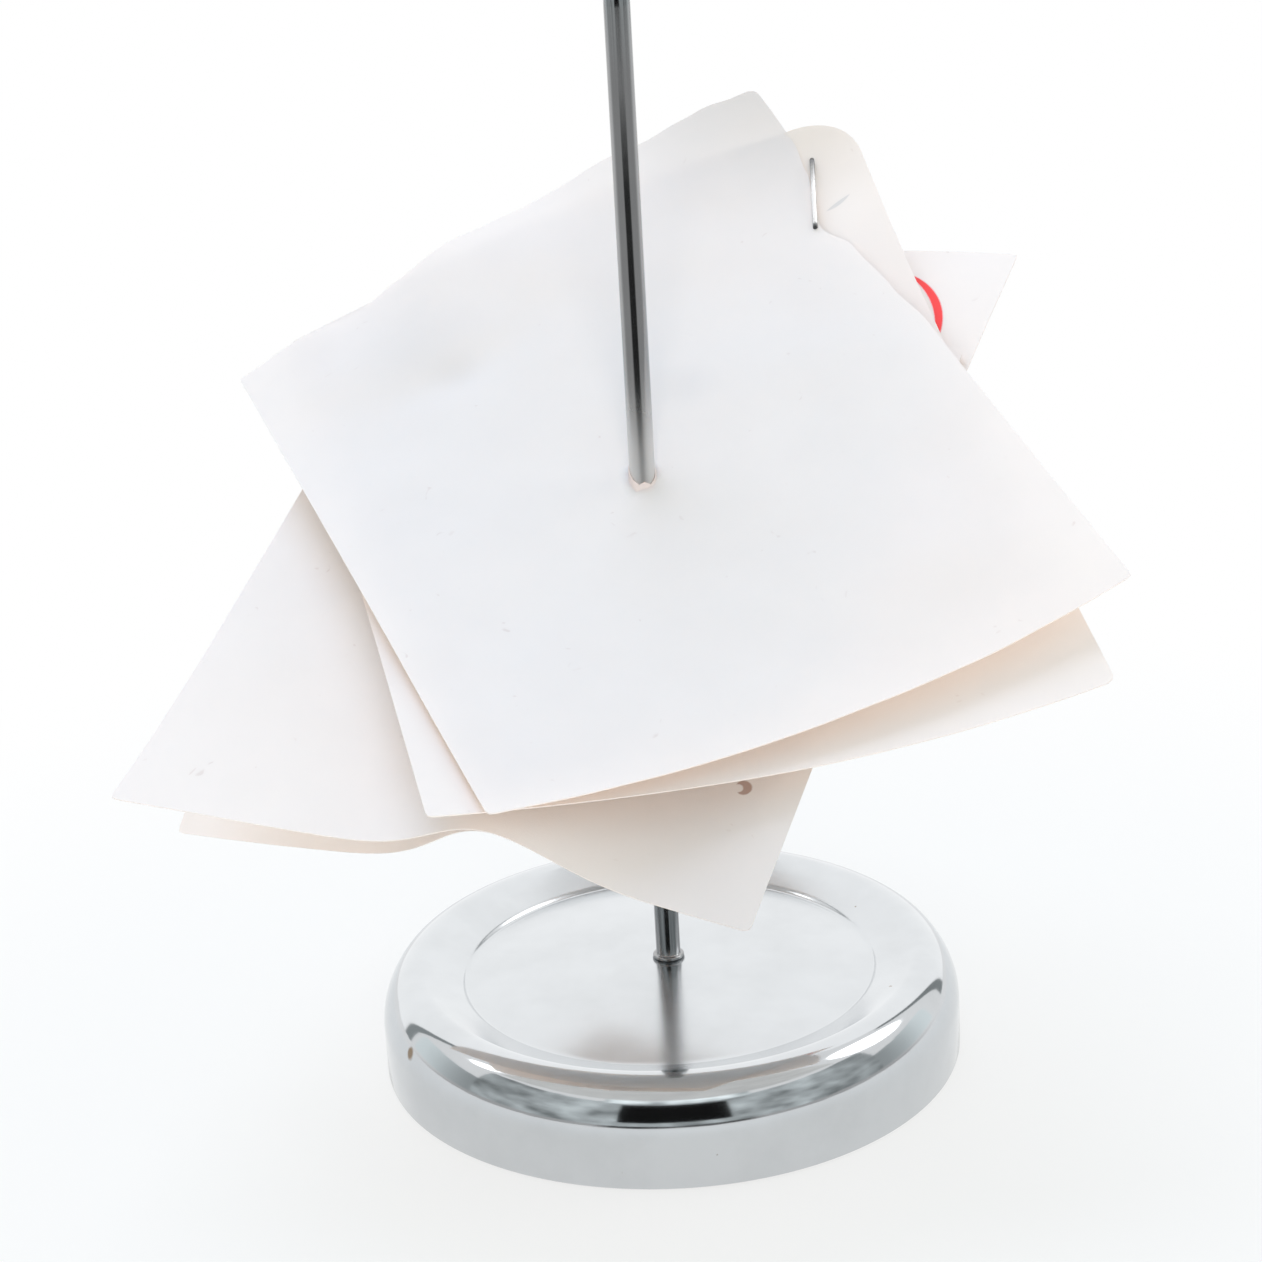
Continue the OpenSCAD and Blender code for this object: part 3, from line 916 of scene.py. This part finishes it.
# staple: round wire, bent by sweeping its end
stapleSize = {
    "wide": 12.0,
    "wire": 0.65,
    "rise": 1.393,
    "clinch": 4.0,
    "clinchGap": 0.2,  # below the middle of the under bill
    "bend": 0.5,
    "inset": (8, 12),  # from the under bill's right and upper edges
    "turn": 74.0,
    "fade": (0.9, 2.6),  # painted shade darkens the crown towards its two ends
    "sides": 0.72,
    "shadedTone": (0.1, 0.102, 0.105, 1),
    "bright": (0.94, 0.95, 0.96, 1),
    "rough": (0.4, 0.2),
    "toneRange": (0.2, 0.95),
    "grainScale": 2600,
    "grainShare": 0.25,
    "rubbedOrLit": 2.5,  # a higher power keeps the painted highlight nearer the crown's top
    "endShade": 0.1,
    "around": 12,
    "bendSteps": 6,
    "weld": 1e-4,
}


# the staple's colour is painted light: bright along the crown's top, painted shade on its sides and ends;
# the same map sets its roughness
def makeStapleSteel():
    material, tree, shader = newMaterial("stapleSteel")
    shader.inputs["Metallic"].default_value = 1
    paintedLight = addNode(tree, "ShaderNodeAttribute", attribute_name="paintedLight")
    place = addNode(tree, "ShaderNodeTexCoord")
    grain = addNoise(tree, stapleSize["grainScale"], 3)
    both = addMath(tree, "MULTIPLY_ADD", stapleSize["grainShare"])
    low, high = stapleSize["toneRange"]
    ramp = addRamp(tree, (low, stapleSize["shadedTone"]), (high, stapleSize["bright"]))
    rough = addRange(tree, 0, 1, *stapleSize["rough"])
    joinUp(
        tree,
        (place.outputs["Object"], grain.inputs["Vector"]),
        (grain.outputs["Fac"], both.inputs[0]),
        (paintedLight.outputs["Fac"], both.inputs[2]),
        (both.outputs[0], ramp.inputs["Fac"]),
        (ramp.outputs["Color"], shader.inputs["Base Color"]),
        (paintedLight.outputs["Fac"], rough.inputs["Value"]),
        (rough.outputs["Result"], shader.inputs["Roughness"]),
    )
    return material


def staplePlace():
    bill = bills["underBill"]
    midU = billStack["width"] - bill["hole"][0] - stapleSize["inset"][0]
    midV = bill["length"] - bill["hole"][1] - stapleSize["inset"][1]
    turn = math.radians(stapleSize["turn"])
    stepU = stapleSize["wide"] / 2 * math.cos(turn)
    stepV = stapleSize["wide"] / 2 * math.sin(turn)
    climb = sheetRise(bill, midU + stepU, midV + stepV) - sheetRise(bill, midU - stepU, midV - stepV)
    seat = Matrix.Translation((midU, midV, sheetRise(bill, midU, midV)))
    tip = Matrix.Rotation(-math.atan(climb / stapleSize["wide"]), 4, "Y")
    return hangMatrix(bill) @ seat @ Matrix.Rotation(turn, 4, "Z") @ tip


def pullWire(bm, faces, vec):
    moved = bmesh.ops.extrude_face_region(bm, geom=faces)["geom"]
    bmesh.ops.delete(bm, geom=faces, context="FACES_ONLY")
    bmesh.ops.translate(bm, vec=vec, verts=pick(moved, bmesh.types.BMVert))
    return pick(moved, bmesh.types.BMFace)


def bendWire(bm, faces, centre):
    swept = bmesh.ops.spin(
        bm, geom=faces, cent=centre, axis=(0, 1, 0), dvec=(0, 0, 0), angle=math.radians(90),
        steps=stapleSize["bendSteps"], use_merge=False)["geom_last"]
    bmesh.ops.delete(bm, geom=faces, context="FACES_ONLY")
    return pick(swept, bmesh.types.BMFace)


def makeStaple(material):
    size = stapleSize
    half = size["wire"] / 2
    crown = size["rise"] + half
    reach = size["wide"] / 2 - half - size["bend"]
    drop = crown + size["clinchGap"] + half - 2 * size["bend"]
    bm = bmesh.new()
    bmesh.ops.create_circle(
        bm, cap_ends=True, segments=size["around"], radius=half,
        matrix=Matrix.Translation((0, 0, crown)) @ Matrix.Rotation(math.radians(90), 4, "Y"))
    end = pullWire(bm, bm.faces[:], (reach, 0, 0))
    end = bendWire(bm, end, (reach, 0, crown - size["bend"]))
    end = pullWire(bm, end, (0, 0, -drop))
    end = bendWire(bm, end, (reach, 0, crown - size["bend"] - drop))
    pullWire(bm, end, (-(size["clinch"] - size["bend"] - half), 0, 0))
    whole = bm.verts[:] + bm.edges[:] + bm.faces[:]
    bmesh.ops.mirror(bm, geom=whole, axis="X", merge_dist=size["weld"])
    bmesh.ops.remove_doubles(bm, verts=bm.verts, dist=size["weld"])
    bmesh.ops.recalc_face_normals(bm, faces=bm.faces)
    bm.normal_update()
    paintedLight = bm.verts.layers.float.new("paintedLight")
    for vert in bm.verts:  # painted highlight on the crown's top, painted shade on its sides and in the bends
        fade = size["fade"][0] if vert.co.x < 0 else size["fade"][1]
        nearEnd = min(1, max(0, (size["wide"] / 2 - abs(vert.co.x)) / fade - size["endShade"]))
        rubbedOrLit = max(0, vert.normal.z) ** size["rubbedOrLit"]
        vert[paintedLight] = (size["sides"] + (1 - size["sides"]) * rubbedOrLit) * nearEnd
    bmesh.ops.transform(bm, matrix=Matrix.Scale(mm, 4) @ staplePlace(), verts=bm.verts)
    finishPiece(bm, "stapleWire", "stapled_slips", material, ("staple",), smoothAngle=50)
    print("staple bent")


# studio: pale floor and white surround, with screens that only the metal mirrors
studio = {
    "floorTone": (0.8, 0.755, 0.7, 1),
    "floorReach": (0.06, 0.18),  # the floor turns plain white between these distances
    "floorWhite": 0.75,  # share of plain white beside the base
    "floorHalf": 3,
    "floorDrop": 0.02,
    "floorRough": 0.9,
    "floorGloss": 0.1,
    "white": (1, 1, 1, 1),
    "ambient": 0.665,
    "ambientTint": (0.7, 0.905, 1.0, 1),
    "screenSteps": 24,
    "mottleScale": 5,
    "mottleRange": (0.3, 0.7),
}
# bearings have 0 behind the object and 90 on its right
lamps = {
    "leftBox": {
        "bearing": -86, "lift": 41, "away": 0.9, "size": 0.2, "power": 0.2,
        "tint": (1, 1, 1), "mirrored": True,
    },
    "rightBox": {
        "bearing": 80, "lift": 42, "away": 0.9, "size": 0.46, "power": 0.85,
        "tint": (1, 1, 1), "mirrored": True,
    },
    "topBox": {
        "bearing": -25, "lift": 67, "away": 1.15, "size": 0.8, "power": 8.4,
        "tint": (0.67, 0.78, 1.0), "mirrored": False,
    },
    "frontBox": {
        "bearing": 180, "lift": 12, "away": 1.1, "size": 0.6, "power": 5.9,
        "tint": (1.0, 0.95, 0.885), "mirrored": False,
    },
}
# a screen is an edge, its ends given by radius and height, turned from one bearing to another
# then come its tones at two bearings, how far they are mottled, and its tint
plain, cool, warm = (1, 1, 1, 1), (0.93, 1.0, 1.01, 1), (1.0, 0.995, 0.97, 1)
screens = {
    "roomBack": ((1.2, -0.02), (0.6, 0.95), -54, 45, (0, 1.24), (180, 1.24), 0, plain),
    "roomFront": ((1.0, 0.0), (0.8, 0.55), 98, 262, (96, 0.4), (135, 0.56), 0.5, cool),
    "roomRight": ((1.0, 0.0), (0.95, 0.33), 64, 98, (64, 1.0), (98, 0.42), 0, cool),
    "roomLeft": ((1.0, 0.0), (0.95, 0.33), -98, -64, (64, 1.0), (98, 0.42), 0, cool),
    "roomTop": ((0.78, 0.61), (0.3, 0.9), 108, 262, (98, 0.8), (150, 0.74), 0.08, warm),
    "roomBright": ((0.76, 0.5), (0.74, 0.58), 150, 210, (150, 0.8), (156, 1.3), 0.6, cool),
    "cameraFlag": ((0.6, 0.06), (0.6, 0.36), 161, 202, (0, 0.008), (180, 0.008), 0, plain),
    "leftGap": ((0.98, -0.05), (0.7, 0.75), -61, -55, (0, 0.35), (180, 0.35), 0, cool),
    "rightGap": ((0.98, -0.05), (0.7, 0.75), 46, 52, (0, 0.3), (180, 0.3), 0, cool),
    "frontFloor": ((0.15, 0.001), (0.98, 0.001), 64, 296, (64, 1.0), (100, 0.5), 0, plain),
    "flagFloor": ((0.17, 0.0015), (0.7, 0.0015), 151, 209, (150, 0.45), (158, 0.03), 0, plain),
}


# 1 for the rays that see the plain white surround, and 0 for the light on the object
def whiteRays(tree):
    rays = addNode(tree, "ShaderNodeLightPath")
    glossy = addMath(tree, "MAXIMUM")
    through = addMath(tree, "MAXIMUM")
    joinUp(
        tree,
        (rays.outputs["Is Camera Ray"], glossy.inputs[0]),
        (rays.outputs["Is Glossy Ray"], glossy.inputs[1]),
        (glossy.outputs[0], through.inputs[0]),
        (rays.outputs["Is Transmission Ray"], through.inputs[1]),
    )
    return through.outputs[0]


def makeFloor():
    material, tree, shader = newMaterial("studioFloorWhite")
    shader.inputs["Base Color"].default_value = studio["floorTone"]
    shader.inputs["Roughness"].default_value = studio["floorRough"]
    shader.inputs["Specular IOR Level"].default_value = studio["floorGloss"]
    place = addNode(tree, "ShaderNodeTexCoord")
    away = addNode(tree, "ShaderNodeVectorMath", operation="LENGTH")
    fade = addRange(tree, *studio["floorReach"], studio["floorWhite"], 1, smooth=True)
    share = addMath(tree, "MULTIPLY")
    white = addNode(tree, "ShaderNodeEmission", {"Color": studio["white"], "Strength": 1})
    mixed = addNode(tree, "ShaderNodeMixShader")
    joinUp(
        tree,
        (place.outputs["Object"], away.inputs[0]),
        (away.outputs["Value"], fade.inputs["Value"]),
        (fade.outputs["Result"], share.inputs[0]),
        (whiteRays(tree), share.inputs[1]),
        (share.outputs[0], mixed.inputs[0]),
        (shader.outputs["BSDF"], mixed.inputs[1]),
        (white.outputs["Emission"], mixed.inputs[2]),
        (mixed.outputs["Shader"], tree.nodes["Material Output"].inputs["Surface"]),
    )
    bm = bmesh.new()
    bmesh.ops.create_grid(bm, x_segments=1, y_segments=1, size=studio["floorHalf"])
    bmesh.ops.translate(bm, vec=(0, 0, -studio["floorDrop"] * mm), verts=bm.verts)
    newObject(bm, "studioFloor", material)


def makeWorld():
    world = bpy.data.worlds.new("studioSurround")
    scene.world = world
    world.use_nodes = True
    tree = world.node_tree
    back = tree.nodes["Background"]
    tint = addCover(tree, studio["white"])
    tint.inputs[6].default_value = studio["ambientTint"]
    level = addRange(tree, 0, 1, studio["ambient"], 1)
    seen = whiteRays(tree)
    joinUp(
        tree,
        (seen, level.inputs["Value"]),
        (seen, tint.inputs[0]),
        (tint.outputs[2], back.inputs["Color"]),
        (level.outputs["Result"], back.inputs["Strength"]),
    )


def makeLamp(name):
    look = lamps[name]
    turn, rise = math.radians(look["bearing"]), math.radians(look["lift"])
    level = math.cos(rise)
    spot = Vector((math.sin(turn) * level, math.cos(turn) * level, math.sin(rise))) * look["away"]
    data = bpy.data.lights.new(name, "AREA")
    data.shape = "DISK"
    data.size = look["size"]
    data.energy = look["power"]
    data.color = look["tint"]
    lamp = bpy.data.objects.new(name, data)
    lamp.location = spot
    lamp.rotation_euler = spot.to_track_quat("Z", "Y").to_euler()
    lamp.visible_glossy = look["mirrored"]
    scene.collection.objects.link(lamp)


def makeScreenTone(name, first, last, mottle, tint):
    material, tree, shader = newMaterial(name)
    shader.inputs["Base Color"].default_value = (0, 0, 0, 1)
    shader.inputs["Specular IOR Level"].default_value = 0
    shader.inputs["Emission Color"].default_value = tint
    place = addNode(tree, "ShaderNodeTexCoord")
    split = addNode(tree, "ShaderNodeSeparateXYZ")
    bearing = addMath(tree, "ARCTAN2")
    either = addMath(tree, "ABSOLUTE")
    tone = addRange(tree, math.radians(first[0]), math.radians(last[0]), first[1], last[1], smooth=True)
    strength = tone.outputs["Result"]
    if mottle:
        patches = addNoise(tree, studio["mottleScale"], 2)
        swing = addRange(tree, *studio["mottleRange"], 1 - mottle, 1 + mottle)
        mixed = addMath(tree, "MULTIPLY")
        joinUp(
            tree,
            (place.outputs["Object"], patches.inputs["Vector"]),
            (patches.outputs["Fac"], swing.inputs["Value"]),
            (swing.outputs["Result"], mixed.inputs[0]),
            (strength, mixed.inputs[1]),
        )
        strength = mixed.outputs[0]
    joinUp(
        tree,
        (place.outputs["Object"], split.inputs["Vector"]),
        (split.outputs["X"], bearing.inputs[0]),
        (split.outputs["Y"], bearing.inputs[1]),
        (bearing.outputs[0], either.inputs[0]),
        (either.outputs[0], tone.inputs["Value"]),
        (strength, shader.inputs["Emission Strength"]),
    )
    return material


def makeScreen(name):
    low, high, begin, stop, first, last, mottle, tint = screens[name]
    bm = bmesh.new()
    ends = [bm.verts.new((0, radius, height)) for radius, height in (low, high)]
    edge = bm.edges.new(ends)
    bmesh.ops.rotate(bm, verts=ends, matrix=Matrix.Rotation(math.radians(-begin), 3, "Z"))
    bmesh.ops.spin(
        bm, geom=ends + [edge], cent=(0, 0, 0), axis=(0, 0, 1), dvec=(0, 0, 0),
        angle=math.radians(begin - stop), steps=studio["screenSteps"], use_merge=False)
    screen = newObject(bm, name, makeScreenTone(name + "Tone", first, last, mottle, tint))
    screen.visible_camera = False
    screen.visible_diffuse = False
    screen.visible_shadow = False
    screen.visible_transmission = False


def makeStudio():
    makeFloor()
    makeWorld()
    for name in lamps:
        makeLamp(name)
    for name in screens:
        makeScreen(name)
    print("studio set")


setCamera()
baseChrome = makePlating(
    "baseChrome", plating["baseTint"], plating["baseRough"], plating["baseHair"], wearDish)
wireChrome = makePlating(
    "wireChrome", plating["wireShadedTint"], plating["wireRough"], plating["wireHair"], scuffAndSheenWire)
makeShell(baseChrome)
makeSpike(wireChrome)
makePad(makeFoam())
for metalName in innerMetals:
    finishInner(metalName)
makeBill("lowestBill", makePaper("billPaperMarked", penStroke))
makeBill("leftBill", makePaper("billPaperSpeckled", speck, [tipPaintedShade]))
makeBill("underBill", makePaper("billPaperCreaseShaded", creaseShade, [cornerPaintedWarmShade]))
# the top bill's grey patches are painted shade
topBillPaintedShades = [cornerPaintedShade, dimplePaintedShade, dimpleFoldPaintedShade, middlePaintedShade]
makeBill("topBill", makePaper("billPaperShadePainted", None, topBillPaintedShades))
makeStaple(makeStapleSteel())
makeStudio()
